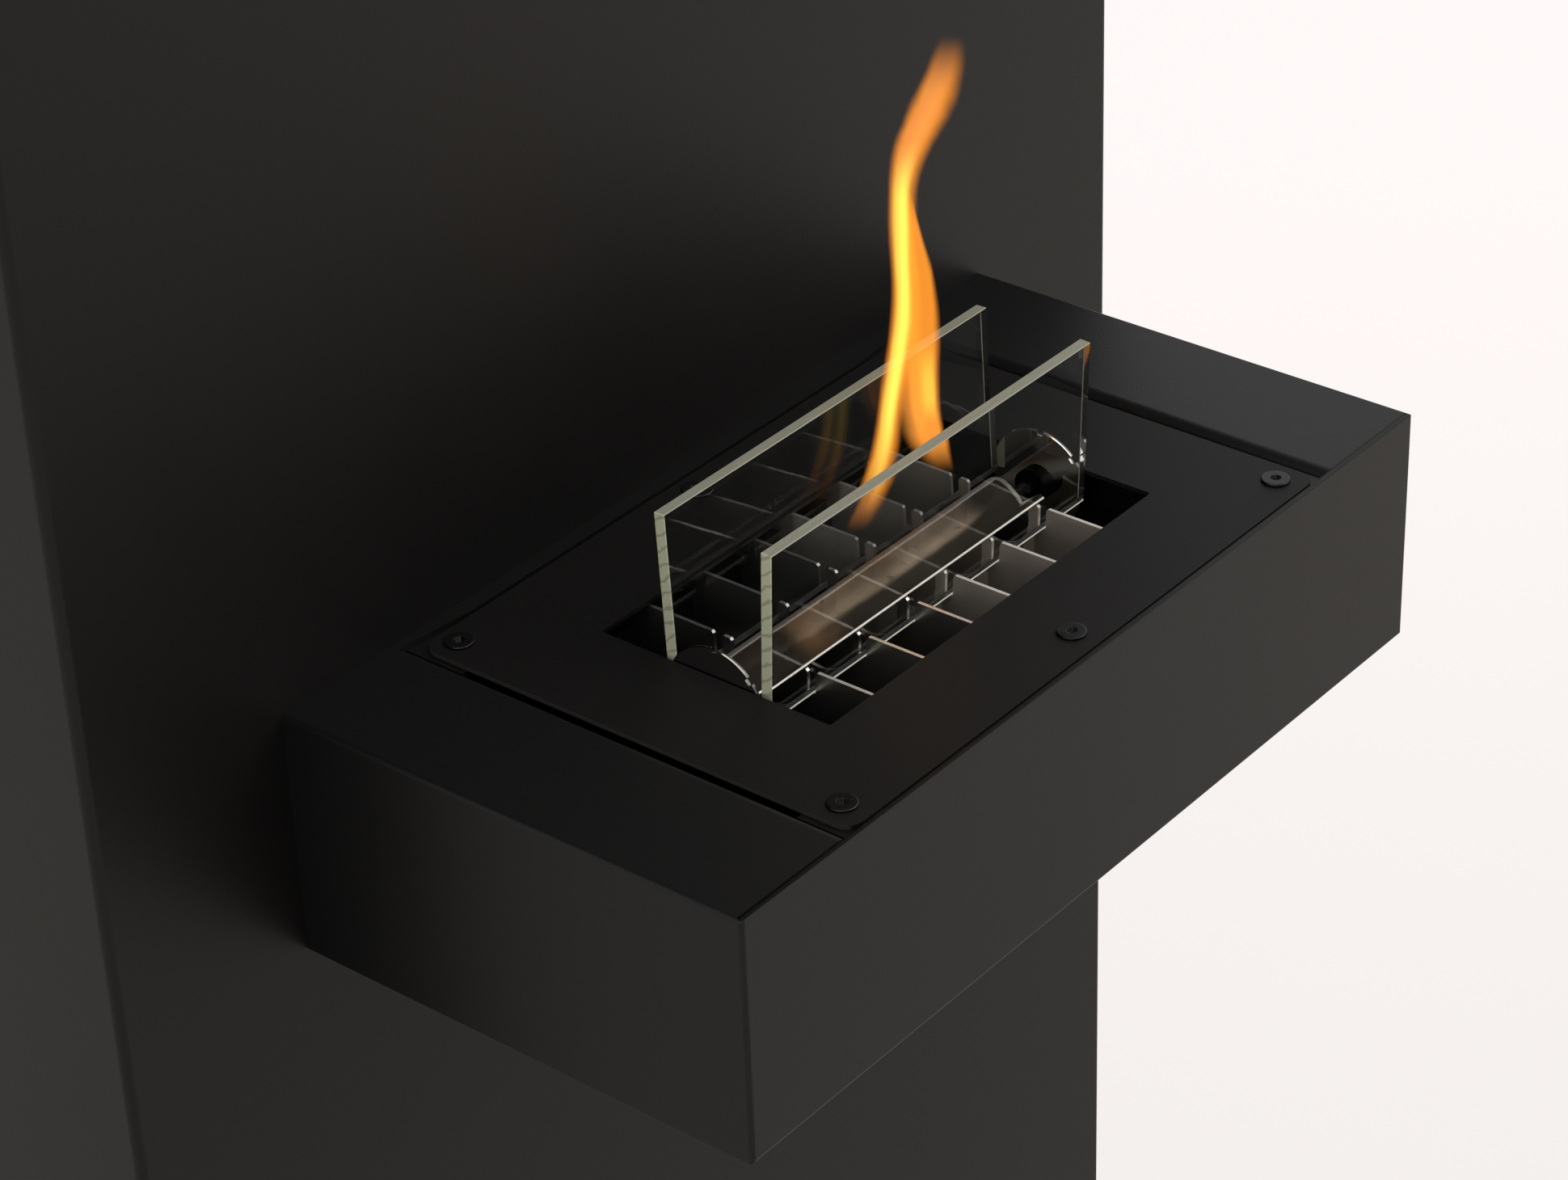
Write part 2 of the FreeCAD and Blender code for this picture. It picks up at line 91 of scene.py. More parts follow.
class Finish:
    """A procedural material on Object coordinates, in metres."""

    def __init__(self, name):
        self.material = bpy.data.materials.new(name)
        self.material.use_nodes = True
        self.tree = self.material.node_tree
        self.tree.nodes.clear()
        self.out = self.tree.nodes.new("ShaderNodeOutputMaterial")
        self.place = self.node("ShaderNodeTexCoord", {}, {}, "Object")
        self.facing = self.node("ShaderNodeTexCoord", {}, {}, "Normal")

    def node(self, kind, settings, inputs, output=0):
        """Adds one node: settings first, then a value or a link for each named or numbered socket."""
        made = self.tree.nodes.new(kind)
        for key, value in settings.items():
            setattr(made, key, value)
        for key, value in inputs.items():
            if isinstance(value, Value):
                self.tree.links.new(value.socket, made.inputs[key])
            else:
                made.inputs[key].default_value = value
        return Value(self, made.outputs[output])

    def axes(self, vector=None):
        """The x, y and z of a vector, of the place if none is given."""
        split = self.node("ShaderNodeSeparateXYZ", {}, {0: vector or self.place})
        return [Value(self, split.socket.node.outputs[i]) for i in range(3)]

    def noise(self, size, detail=3.0, stretch=(1.0, 1.0, 1.0)):
        """Cloudy values from 0 to 1 with blots of about the given size in metres, drawn out per axis."""
        scale = tuple(1.0 / (size * s) for s in stretch)
        at = self.node("ShaderNodeMapping", {}, {"Vector": self.place, "Scale": scale})
        return self.node("ShaderNodeTexNoise", {}, {"Vector": at, "Scale": 1.0, "Detail": detail}, "Fac")

    def mix(self, factor, low, high):
        """A colour between two others. The Mix node keeps its colours in sockets 6 and 7 and result 2."""
        low, high = [(*tone, 1.0) if isinstance(tone, tuple) else tone for tone in (low, high)]
        return self.node("ShaderNodeMix", {"data_type": "RGBA"}, {0: factor, 6: low, 7: high}, 2)

    def bump(self, height, depth):
        """A normal that follows a height from 0 to 1 of the given depth in metres."""
        return self.node("ShaderNodeBump", {}, {"Height": height, "Distance": depth, "Strength": 1.0})

    def surface(self, **inputs):
        """The shader itself, with underscores in the socket names for spaces."""
        named = {key.replace("_", " "): value for key, value in inputs.items()}
        return self.node("ShaderNodeBsdfPrincipled", {}, named)

    def done(self, shader):
        """Links the shader to the output and hands over the material."""
        self.tree.links.new(shader.socket, self.out.inputs["Surface"])
        return self.material


def dress(material, *nodes):
    """Gives CAD nodes a material."""
    for name in nodes:
        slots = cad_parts[name].data.materials
        slots.clear()
        slots.append(material)


zinc = Finish("zinc_plating")
spangle = zinc.noise(0.012, 2.0)
rolled = zinc.noise(0.0006, 2.0, (40.0, 1.0, 1.0))
zinc_shader = zinc.surface(
    Base_Color=zinc.mix(spangle, (0.42, 0.43, 0.45), (0.58, 0.59, 0.60)),
    Metallic=0.9,
    Roughness=0.34 + 0.16 * rolled + 0.08 * spangle,
    Normal=zinc.bump(rolled, 0.00002),
)
dress(zinc.done(zinc_shader), "wall_rail", "hanger_rail", "lower_stay", "backing_plate", "shelf_bolts")


# Column casing and shelf box
# Folded steel sheet with welded corners, all powder coated in matte black. The coat has a fine even
# grain and a soft sheen. The decks of the box meet its front wall in a fine dark seam, and the top of
# the wall's cut edge is painted duller and darker as shade.
shelf_low, shelf_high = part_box("shelf_body")
shelf_wall = 0.0020
seam_core, seam_reach = 0.00025, 0.00060
wall_blend, top_depth, top_blend = 0.0004, 0.0001, 0.0002
grain_size, grain_depth = 0.0007, 0.000045
cloud_size = 0.09


def powder_coat(name, low, high, rough, gloss, seam_and_shade=None, ends=None):
    """Black powder coat: fine grain as bump and faint clouds in tone and gloss. A seam, which may carry
    painted shade, has no gloss left, and ends may have a tone of their own, which may be painted light."""
    coat = Finish(name)
    grain = coat.noise(grain_size, 2.0)
    cloud = coat.noise(cloud_size, 3.0)
    tone = coat.mix(cloud, low, high)
    return coat.done(coat.surface(
        Base_Color=ends(coat, tone) if ends else tone,
        Metallic=seam_and_shade(coat) if seam_and_shade else 0.0,
        Roughness=rough + 0.06 * cloud + 0.05 * grain,
        Specular_IOR_Level=gloss,
        Normal=coat.bump(grain, grain_depth),
    ))


def seam_and_painted_shade(coat):
    """A fine dark line on top of the box where the decks meet the front wall, and painted shade that makes
    the wall's cut edge duller and darker.
    """
    y, z = coat.axes()[1:]
    seam_y = shelf_low.y + shelf_wall
    line = 1.0 - abs(y - seam_y).between(seam_core, seam_reach)
    # Painted shade: the top of the front wall's cut edge loses its gloss and turns darker.
    shaded_wall_edge = 0.35 - 0.35 * y.between(seam_y - wall_blend, seam_y)
    on_top = z.between(shelf_high.z - top_depth - top_blend, shelf_high.z - top_depth)
    return (line + shaded_wall_edge).capped() * on_top


dress(powder_coat("casing_coat", (0.0024, 0.0022, 0.0021), (0.0033, 0.0030, 0.0028), 0.38, 0.195),
      "column_casing")
dress(powder_coat("shelf_coat", (0.0034, 0.0034, 0.0033), (0.0044, 0.0043, 0.0042), 0.36, 0.19, seam_and_painted_shade),
      "shelf_body", "shelf_floor", "front_ledge", "rear_ledge")


# Tank and combs
# A welded steel pan with a heat-proof black finish, dulled by soot. The combs on its long walls keep
# the fins upright.
soot = Finish("tank_soot")
soot_cloud = soot.noise(0.02, 4.0)
soot_shader = soot.surface(
    Base_Color=soot.mix(soot_cloud, (0.0008, 0.0008, 0.0008), (0.0020, 0.0019, 0.0018)),
    Roughness=0.55 + 0.2 * soot_cloud,
    Specular_IOR_Level=0.15,
    Normal=soot.bump(soot.noise(0.0012, 3.0), 0.00006),
)
dress(soot.done(soot_shader), "burner_tank", "front_comb", "rear_comb")


# Burner plate
# A laser-cut steel plate with rounded corners, coated like the shelf but a shade duller, screwed down
# with its top almost level with the rim. Its cut ends beside the decks are painted light grey, as
# painted light in the shaded gaps there.
beyond_mouth = (0.10, 0.11)


def painted_light_ends(coat, tone):
    """Painted light: grey where the plate faces along X, past both ends of its cut-out, to lighten the shaded
    gaps beside the decks.
    """
    sideways = abs(coat.axes(coat.facing)[0]).between(0.6, 0.8)
    outside = abs(coat.axes()[0]).between(*beyond_mouth)
    return coat.mix(sideways * outside, tone, (0.030, 0.029, 0.028))


dress(powder_coat("plate_coat", (0.0052, 0.0049, 0.0047), (0.0066, 0.0062, 0.0060), 0.46, 0.115,
                  ends=painted_light_ends), "burner_plate")


# Plate screws
# Six blackened screws with a low flat head and a hexagon socket. The rim is turned round and the socket
# is pressed in.
head_radius, head_height, head_round = 0.00475, 0.0009, 0.00045
shank_radius, shank_point = 0.0025, 0.00001
crown_rings = (0.0041, 0.0026)
socket_radius, socket_land, socket_bevel = 0.0016, 0.0003, 0.00008
bevel_depth, socket_depth, socket_cone = 0.0001, 0.0024, 0.0002
head_steps = 48


def grid_faces(rows, columns, closed=True):
    """Quads between neighbouring rows and columns of a grid. The last column joins the first if closed."""
    i, j = np.meshgrid(np.arange(rows - 1), np.arange(columns if closed else columns - 1), indexing="ij")
    k = (j + 1) % columns
    here, above = i * columns, (i + 1) * columns
    return np.stack([here + j, here + k, above + k, above + j], axis=-1).reshape(-1, 4)


def piece(name, points, faces, material, body, smooth=True):
    """A mesh object at the origin that rides on a CAD body."""
    mesh = bpy.data.meshes.new(name)
    mesh.from_pydata(points.reshape(-1, 3), [], faces)
    mesh.polygons.foreach_set("use_smooth", np.full(len(mesh.polygons), smooth))
    mesh.materials.append(material)
    made = bpy.data.objects.new(name, mesh)
    bpy.context.scene.collection.objects.link(made)
    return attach(made, body)


def low_heads(centres, under, tip):
    """Each row of the grid is a ring about the screw. Its radius goes up the shank, out under the head, over
    a quarter-round rim to the flat crown and in to the socket, where the ring turns into a hexagon."""
    turn = np.linspace(0, 2 * np.pi, head_steps, endpoint=False)
    hexagon = socket_radius / np.cos((turn + np.pi / 6) % (np.pi / 3) - np.pi / 6)
    arch = np.linspace(0, 1, 9) * np.pi / 2
    crown = under + head_height
    bottom = crown - socket_depth
    round_radius = head_radius - head_round + head_round * np.cos(arch)
    round_height = crown - head_round + head_round * np.sin(arch)
    shank = [shank_point, shank_radius, shank_radius, head_radius]
    circle = np.concatenate([shank, round_radius, crown_rings])
    socket = [hexagon + socket_land, hexagon + socket_bevel, hexagon, hexagon, hexagon * 0.01]
    ring_radius = np.concatenate([np.repeat(circle[:, None], head_steps, 1), socket])
    ring_height = np.concatenate([[tip, tip, under, under], round_height, [crown, crown, crown, crown],
                                  [crown - bevel_depth, bottom, bottom - socket_cone]])
    ring = np.stack([ring_radius * np.cos(turn), ring_radius * np.sin(turn),
                     np.repeat(ring_height[:, None], head_steps, 1)], axis=-1)
    shift = np.pad(np.array(centres), ((0, 0), (0, 1)))
    points = ring[None] + shift[:, None, None, :]
    one = grid_faces(len(ring), head_steps)
    faces = np.concatenate([one + i * ring_radius.size for i in range(len(centres))])
    return points, faces


oxide = Finish("black_oxide")
rub = oxide.noise(0.0016, 3.0)
oxide_shader = oxide.surface(
    Base_Color=oxide.mix(rub, (0.0010, 0.0010, 0.0010), (0.0026, 0.0025, 0.0024)),
    Roughness=0.20 + 0.12 * rub,
    Specular_IOR_Level=0.22,
    Normal=oxide.bump(oxide.noise(0.0004, 2.0), 0.00001),
)
plate_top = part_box("burner_plate")[1].z
screw_low, screw_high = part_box("plate_screws")
screw_x = screw_high.x - head_radius
screw_rows = (screw_low.y + head_radius, screw_high.y - head_radius)
screw_centres = [(x, y) for y in screw_rows for x in (-screw_x, 0.0, screw_x)]
screws = piece("low_head_screws", *low_heads(screw_centres, plate_top, screw_low.z),
               oxide.done(oxide_shader), "frame")
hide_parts("plate_screws")


# Fins
# Six laser-cut stainless plates across the tank with bright cut edges. The three on the right have a
# duller face than the three on the left, which mirror the black tank. The tabs behind the front pane are
# painted lighter against the strip's shade, and the cut edges are painted darker at the back as shade.
tab_front, tab_rear, tab_blend = -0.2059, -0.2016, 0.0003
edge_shade_span = (-0.208, -0.188)


def steel(name, dark, light, tab_painted_tone, rough, spread):
    """Stainless sheet: faintly brushed along Y, with clouds of heat tone, a tone of its own on the tab
    behind the front pane, painted light against the strip's shade, and a bright cut edge on top, which
    is painted darker at the back as shade."""
    sheet = Finish(name)
    brushed = sheet.noise(0.0005, 2.0, (1.0, 30.0, 1.0))
    cloud = sheet.noise(0.014, 3.0)
    cut = sheet.axes(sheet.facing)[2].between(0.5, 0.9)
    y = sheet.axes()[1]
    # Painted shade: the cut edge is darker towards the back.
    shaded_cut_tone = sheet.mix(y.between(*edge_shade_span), (0.62, 0.60, 0.56), (0.24, 0.23, 0.215))
    # Painted light: the tab behind the front pane, shaded by the strip, gets a lighter tone of its own.
    painted_light_tab = (y.between(tab_front - tab_blend, tab_front + tab_blend)
              * (1.0 - y.between(tab_rear - tab_blend, tab_rear + tab_blend)))
    face = sheet.mix(painted_light_tab, sheet.mix(cloud, dark, light), tab_painted_tone)
    return sheet.done(sheet.surface(
        Base_Color=sheet.mix(cut, face, shaded_cut_tone),
        Metallic=1.0,
        Roughness=rough + spread * brushed + 0.15 * cut,
        Normal=sheet.bump(brushed, 0.000001),
    ))


dress(steel("polished_fins", (0.46, 0.45, 0.43), (0.56, 0.55, 0.53), (0.50, 0.49, 0.47), 0.27, 0.05),
      "fin_1", "fin_2", "fin_3")
dress(steel("satin_fins", (0.39, 0.35, 0.31), (0.52, 0.475, 0.42), (0.86, 0.78, 0.69), 0.50, 0.14),
      "fin_4", "fin_5", "fin_6")


# Regulator discs
# Two stainless discs, laser cut with two notches, chamfered and polished to a mirror. They are welded to
# the axle's collars and turn with it. The far one's face carries a painted brown reflection band and a
# painted pale reflection towards the wall. The chamfers are painted darker as shade, less so along the
# near disc's lit arc, which is a painted highlight.
disc_radius, bore_radius, rim_chamfer = 0.0184, 0.00302, 0.00030
notch_turns, notch_depth = (91.0, 138.0), 0.0014
notch_half_turn, notch_flank_turn = 3.9, 0.35
disc_low, disc_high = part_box("right_disc")
axis_y, axis_z = (disc_low.y + disc_high.y) / 2, disc_low.z + disc_radius


def about_axis(x, radius, turn):
    """Points at a place along X, a radius and a turn about the regulator's axis. The turn starts on the
    wall side and goes over the top."""
    x, radius, turn = np.broadcast_arrays(x, radius, turn)
    return np.stack([x, axis_y + radius * np.cos(turn), axis_z + radius * np.sin(turn)], axis=-1)


def notched_disc(side):
    """Rings about the axis from the bore over the inner face, the chamfered rim and the outer face to the
    bore again. The outer radius dips by the notch depth over two short arcs."""
    turn = np.radians(np.linspace(0, 360, 1080, endpoint=False))
    outer = np.full(turn.size, disc_radius)
    for notch in notch_turns:
        off = np.abs(np.degrees(turn) - notch)
        outer = outer - notch_depth * np.clip((notch_half_turn - off) / notch_flank_turn, 0, 1)
    bore, waist, lip = np.full(turn.size, bore_radius), outer * 0.6, outer - rim_chamfer
    radius = np.stack([bore, waist, lip, outer, outer, lip, waist, bore])
    inner_x, outer_x, edge = side * disc_low.x, side * disc_high.x, side * rim_chamfer
    x = np.array([inner_x, inner_x, inner_x, inner_x + edge, outer_x - edge, outer_x, outer_x, outer_x])
    faces = grid_faces(len(radius) + 1, turn.size) % radius.size
    return about_axis(x[:, None], radius, turn), faces if side > 0 else faces[:, ::-1]


mirror = Finish("mirror_discs")
lapped = mirror.noise(0.0006, 2.0, (1.0, 6.0, 1.0))
heat = mirror.noise(0.014, 3.0)
sideways = abs(mirror.axes(mirror.facing)[0])
on_rim, flat = 1.0 - sideways.between(0.3, 0.5), sideways.between(0.85, 0.95)
disc_x, disc_y, disc_z = mirror.axes()
back, rise = (disc_y - axis_y) * (1.0 / disc_radius), (disc_z - axis_z) * (1.0 / disc_radius)
far, near = disc_x.between(0.0, 0.01), 1.0 - disc_x.between(-0.01, 0.0)
# Painted shade on the chamfers, lightened along the near disc's lit arc as a painted highlight.
painted_highlight_arc = back.between(-0.72, -0.55) * (1.0 - back.between(-0.25, -0.08))
far_painted_shade, near_painted_shade = far * (1.0 - back.between(-0.80, -0.74)), near * (1.0 - 0.42 * painted_highlight_arc)
dull_rim_and_painted_shade = (on_rim + (far_painted_shade + near_painted_shade) * (1.0 - flat)).capped()
# Painted reflections on the far disc's face: a dark brown band and a pale patch towards the wall.
painted_reflection_band = (far * flat * (1.0 - (rise + 0.97 * back).between(0.58, 0.62))
                * (rise + 0.5 * back).between(-0.10, 0.45))
painted_reflection_edge = far * flat * back.between(0.73, 0.76) * rise.between(0.0, 0.05)
bright_face = mirror.mix(heat, (0.58, 0.56, 0.53), (0.66, 0.65, 0.63))
face_with_painted_band = mirror.mix(painted_reflection_band, bright_face, (0.062, 0.047, 0.037))
face_with_painted_reflections = mirror.mix(painted_reflection_edge, face_with_painted_band, (0.165, 0.160, 0.130))
mirror_shader = mirror.surface(
    Base_Color=mirror.mix(dull_rim_and_painted_shade, face_with_painted_reflections, (0.10, 0.095, 0.09)),
    Metallic=1.0 - 0.85 * (painted_reflection_band + painted_reflection_edge).capped(),
    Roughness=0.03 + 0.03 * lapped + 0.2 * on_rim,
    Normal=mirror.bump(lapped, 0.0000005),
)
mirror_polish = mirror.done(mirror_shader)
for disc_name, side in (("left_disc", -1.0), ("right_disc", 1.0)):
    disc = piece("polished_" + disc_name, *notched_disc(side), mirror_polish, "regulator", smooth=False)
    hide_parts(disc_name)


# Axle, collars and bushes
# A blackened steel axle through both discs with a turned collar against each. It runs in brass bushes
# in the end walls of the tank.
black_steel = Finish("blackened_steel")
turned = black_steel.noise(0.0006, 2.0, (1.0, 12.0, 12.0))
black_shader = black_steel.surface(
    Base_Color=black_steel.mix(turned, (0.004, 0.004, 0.004), (0.012, 0.0115, 0.011)),
    Metallic=0.7,
    Specular_IOR_Level=0.12,
    Roughness=0.07 + 0.08 * turned,
    Normal=black_steel.bump(turned, 0.00001),
)
dress(black_steel.done(black_shader), "regulator_axle", "axle_collars")
brass = Finish("bush_brass")
scored = brass.noise(0.0004, 2.0, (1.0, 20.0, 20.0))
brass_shader = brass.surface(
    Base_Color=brass.mix(scored, (0.42, 0.30, 0.12), (0.58, 0.43, 0.19)),
    Metallic=1.0,
    Roughness=0.28 + 0.2 * scored,
    Normal=brass.bump(scored, 0.00001),
)
dress(brass.done(brass_shader), "axle_bushes")


# Regulator strip
# A curved stainless strip welded to the left disc, browned by the flame. It has a raised bright border
# along its top, its far end and its low edge, which runs out in a narrow tail. Its low band is painted
# dark as shade, it turns darker towards both ends, an orange glow of the flame is painted on its near
# part, and the low edge's bright line is bare steel painted lighter still as a highlight.
strip_low, strip_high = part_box("regulator_strip")
strip_inner, strip_outer = 0.0158, 0.0168
top_turn, low_turn = 101.0, 154.5
corner_radius = 0.0040
tail_length, tail_turn, tail_step_turn, tail_free_turn = 0.0094, 143.5, 5.0, 147.5
border_height, border_width, border_flank = 0.0004, 0.0018, 0.0004
border_stop_turn, border_fade_turn = 149.0, 2.5
lip_turn, lip_flank_turn = 151.8, 0.5


def curved_strip():
    """A closed profile, out along the outer arc and back along the inner one, carried along X. Where the
    strip ends depends on the angle: a rounded corner at the top, then a step out to the tail. The outer
    radius rises by the border's height near the top edge, the end and the low edge."""
    angle = np.linspace(top_turn, low_turn, 96)
    turn = np.radians(angle)
    down = np.radians(angle - top_turn) * strip_outer
    into_corner = np.clip(corner_radius - down, 0, None)
    corner = corner_radius - np.sqrt(corner_radius ** 2 - into_corner ** 2)
    body_end = strip_high.x - tail_length - corner
    step = np.clip((angle - tail_turn) / tail_step_turn, 0, 1)
    end = body_end + tail_length * step * step * (3 - 2 * step)
    fine = 0.955
    along = np.concatenate([np.linspace(0, fine, 90, endpoint=False), np.linspace(fine, 1, 50)])
    x = strip_low.x + along[:, None] * (end - strip_low.x)
    from_end = np.where(angle > tail_free_turn, border_width, body_end - x)
    rise = np.clip((border_width - np.minimum(down, from_end)) / border_flank, 0, 1)
    rise = rise * np.clip((border_stop_turn - angle) / border_fade_turn, 0, 1)
    rise = np.maximum(rise, np.clip((angle - lip_turn) / lip_flank_turn, 0, 1))
    outside = about_axis(x, strip_outer + border_height * rise, turn)
    inside = about_axis(x, strip_inner, turn)[:, ::-1]
    loop = np.concatenate([outside, inside], axis=1)
    middle = about_axis(x[-1], (strip_inner + strip_outer) / 2, turn)
    cap = np.concatenate([middle, middle[::-1]])[None]
    points = np.concatenate([loop, cap])
    return points, grid_faces(len(points), loop.shape[1])


shade_line = (axis_z + 0.0119, axis_z + 0.0137)
lip_highlight_line = (axis_z + 0.0080, axis_z + 0.0088)
flame_middle, flame_reach = -0.008, (0.036, 0.050)
glow_middle, glow_reach = -0.049, (0.002, 0.013)
tint = Finish("heat_tinted_strip")
tint_x, tint_y, tint_z = tint.axes()
reach = ((tint_y - axis_y) ** 2.0 + (tint_z - axis_z) ** 2.0).math("SQRT")
border = reach.between(strip_outer + 0.25 * border_height, strip_outer + 0.8 * border_height)
drawn = tint.noise(0.0007, 2.0, (30.0, 1.0, 1.0))
bloom = tint.noise(0.016, 4.0, (1.6, 1.0, 1.0))
stain = tint.noise(0.0035, 3.0, (1.5, 1.0, 1.0)).between(0.66, 0.72)
browned = tint.mix(bloom.between(0.35, 0.68), (0.078, 0.058, 0.041), (0.152, 0.118, 0.086))
# Painted shade: the low band of the strip is darkened, and it turns darker towards both ends.
painted_low_shade = 1.0 - (tint_z + 0.0008 * bloom).between(*shade_line)
ends = abs(tint_x - flame_middle + 0.006 * bloom).between(*flame_reach)
painted_shade_and_dark_ends = (painted_low_shade * 0.94 + ends * 0.88).capped(0.95)
shaded = tint.mix(painted_shade_and_dark_ends, browned, (0.004, 0.0035, 0.003))
# Painted flame light: an orange glow on the near part of the strip.
painted_glow = (1.0 - abs(tint_x - glow_middle).between(*glow_reach)) * bloom.between(0.3, 0.6)
with_painted_glow = tint.mix(painted_glow * 0.5, shaded, (0.110, 0.058, 0.026))
spotted = tint.mix(stain * 0.6, with_painted_glow, (0.022, 0.017, 0.014))
# The low edge is bare steel, painted lighter still as a highlight.
lip = 1.0 - tint_z.between(*lip_highlight_line)
border_and_lip_highlight = tint.mix(lip, (0.105, 0.095, 0.086), (0.50, 0.47, 0.43))
tint_shader = tint.surface(
    Base_Color=tint.mix(border, spotted, border_and_lip_highlight),
    Metallic=1.0,
    Roughness=0.28 + 0.16 * drawn + 0.08 * bloom,
    Normal=tint.bump(drawn, 0.000002),
)
strip = piece("browned_strip", *curved_strip(), tint.done(tint_shader), "regulator")
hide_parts("regulator_strip")


# Glass panes
# Two clear 4 mm panes in the slots of the fins, leaning apart. Faces are float glass; the cut edges are
# ground, pale green and faintly rippled, with a fine arris. The foot is painted dark as shade, except
# a front strip that is painted bright and glows faintly as painted light.
pane_height, pane_half, pane_arris = 0.0585, 0.0020, 0.00025
pane_lean = math.radians(2.3)
pane_offset = 0.0179
glass_foot = axis_z - 0.0011
glass_top = glass_foot + pane_height * math.cos(pane_lean)
pane_low, pane_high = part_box("front_glass")
end_depth, level_depth, far_depth, edge_blend = 0.0003, 0.0004, 0.0008, 0.0002
lit_y = axis_y - 0.0185
stroke_slope, stroke_rate = 0.67, 1208.0


def pane_slab(side, low, high):
    """The eight corners of a slab: two ends along X by a leaning section that stands on its foot."""
    up = np.array([0.0, side * math.sin(pane_lean), math.cos(pane_lean)])
    out = np.array([0.0, side * math.cos(pane_lean), -math.sin(pane_lean)])
    foot = np.array([0.0, axis_y + side * pane_offset, glass_foot])
    around = ((-pane_half, 0.0), (pane_half, 0.0), (pane_half, pane_height), (-pane_half, pane_height))
    section = [foot + w * out + h * up for w, h in around]
    ends = [[point + np.array([x, 0.0, 0.0]) for point in section] for x in (low.x, high.x)]
    faces = np.array([(0, 1, 2, 3), (7, 6, 5, 4), (0, 4, 5, 1), (1, 5, 6, 2), (2, 6, 7, 3), (3, 7, 4, 0)])
    return np.array(ends), faces if side < 0 else faces[:, ::-1]


glass = Finish("clear_glass")
glass_x, glass_y, glass_z = glass.axes()
end_facing, flat_facing = [abs(part).between(0.80, 0.95) for part in glass.axes(glass.facing)[:2]]
at_end = 1.0 - glass_x.between(pane_low.x + end_depth, pane_low.x + end_depth + edge_blend)
at_top = glass_z.between(glass_top - level_depth - edge_blend, glass_top - level_depth)
at_foot = 1.0 - glass_z.between(glass_foot + level_depth, glass_foot + level_depth + edge_blend)
# Painted light: the front strip of the foot is painted bright and glows; the rest of the foot is painted dark
# as shade.
painted_lit_foot = at_foot * (1.0 - glass_y.between(lit_y - edge_blend, lit_y + edge_blend))
at_far_end = glass_x.between(pane_high.x - far_depth - edge_blend, pane_high.x - far_depth)
far_arris = at_far_end * (1.0 - end_facing)
edge = (at_end + at_top + at_foot + far_arris).capped() * (1.0 - flat_facing)
clear = glass.surface(Base_Color=(0.97, 0.99, 0.98, 1.0), Roughness=0.0, IOR=1.22, Transmission_Weight=1.0)
grit = glass.noise(0.004, 3.0)
slant = glass_z + stroke_slope * glass_y
stroke = (slant * stroke_rate + grit * 5.0).math("SINE").between(0.60, 0.96)
sawn = glass.mix(stroke * 0.6, (0.46, 0.47, 0.33), (0.20, 0.21, 0.12))
arrised = glass.mix(grit, (0.25, 0.25, 0.195), (0.30, 0.30, 0.235))
upper = glass.mix(at_end, arrised, sawn)
# Painted shade darkens the foot, and painted light brightens its front strip with a faint glow.
ground = glass.surface(
    Base_Color=glass.mix(painted_lit_foot, glass.mix(at_foot, upper, (0.02, 0.02, 0.018)), (0.82, 0.80, 0.68)),
    Roughness=0.45 + 0.2 * grit,
    Normal=glass.bump(stroke, 0.00006),
    Emission_Color=glass.mix(painted_lit_foot, (0.0, 0.0, 0.0), (0.15, 0.145, 0.12)),
    Emission_Strength=1.0,
)
pane_glass = glass.done(glass.node("ShaderNodeMixShader", {}, {0: edge, 1: clear, 2: ground}))
for pane_name, pane_body, side in (("front_glass", "front_pane", -1.0), ("rear_glass", "rear_pane", 1.0)):
    slab = pane_slab(side, *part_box(pane_name))
    pane = piece(pane_name + "_pane", *slab, pane_glass, pane_body, smooth=False)
    arris = pane.modifiers.new("arris", "BEVEL")
    arris.width, arris.segments = pane_arris, 1
    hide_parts(pane_name)


# Flame
# Burning fuel vapour behind the strip: a tall yellow tongue with an orange tip, and a short orange one
# that leans on it. It is gas, so it is drawn as thin glowing sheets that cross in its middle line.
flame_y, short_step = axis_y + 0.0087, 0.0024
sheet_rows, sheet_columns = 121, 33
main_heading, cross_turn, cross_width = -50.1, 60.0, 0.7
tall_table = [
    (-0.0064, -0.3622, 0.0036), (-0.0040, -0.3606, 0.0042), (0.0063, -0.3519, 0.0051),
    (0.0132, -0.3430, 0.0052), (0.0161, -0.3323, 0.0049), (0.0187, -0.3214, 0.0049),
    (0.0221, -0.3111, 0.0052), (0.0251, -0.3006, 0.0050), (0.0257, -0.2892, 0.0045),
    (0.0252, -0.2773, 0.0047), (0.0253, -0.2659, 0.0052), (0.0254, -0.2543, 0.0049),
    (0.0292, -0.2446, 0.0069), (0.0381, -0.2368, 0.0086), (0.0454, -0.2285, 0.0075),
    (0.0498, -0.2200, 0.0062), (0.0508, -0.2126, 0.0038)]
short_table = [
    (0.0443, -0.3635, 0.0040), (0.0370, -0.3492, 0.0070), (0.0336, -0.3355, 0.0078),
    (0.0327, -0.3229, 0.0085), (0.0326, -0.3106, 0.0088), (0.0333, -0.2990, 0.0080),
    (0.0333, -0.2873, 0.0064), (0.0315, -0.2750, 0.0041), (0.0307, -0.2642, 0.0024),
    (0.0306, -0.2585, 0.0015)]


def smoothed(values):
    """A running mean with the weights of a bell, with the values carried on past both ends."""
    bell = np.exp(-np.linspace(-2, 2, 17) ** 2)
    padded = np.pad(values, bell.size // 2, mode="reflect", reflect_type="odd")
    return np.convolve(padded, bell / bell.sum(), mode="valid")


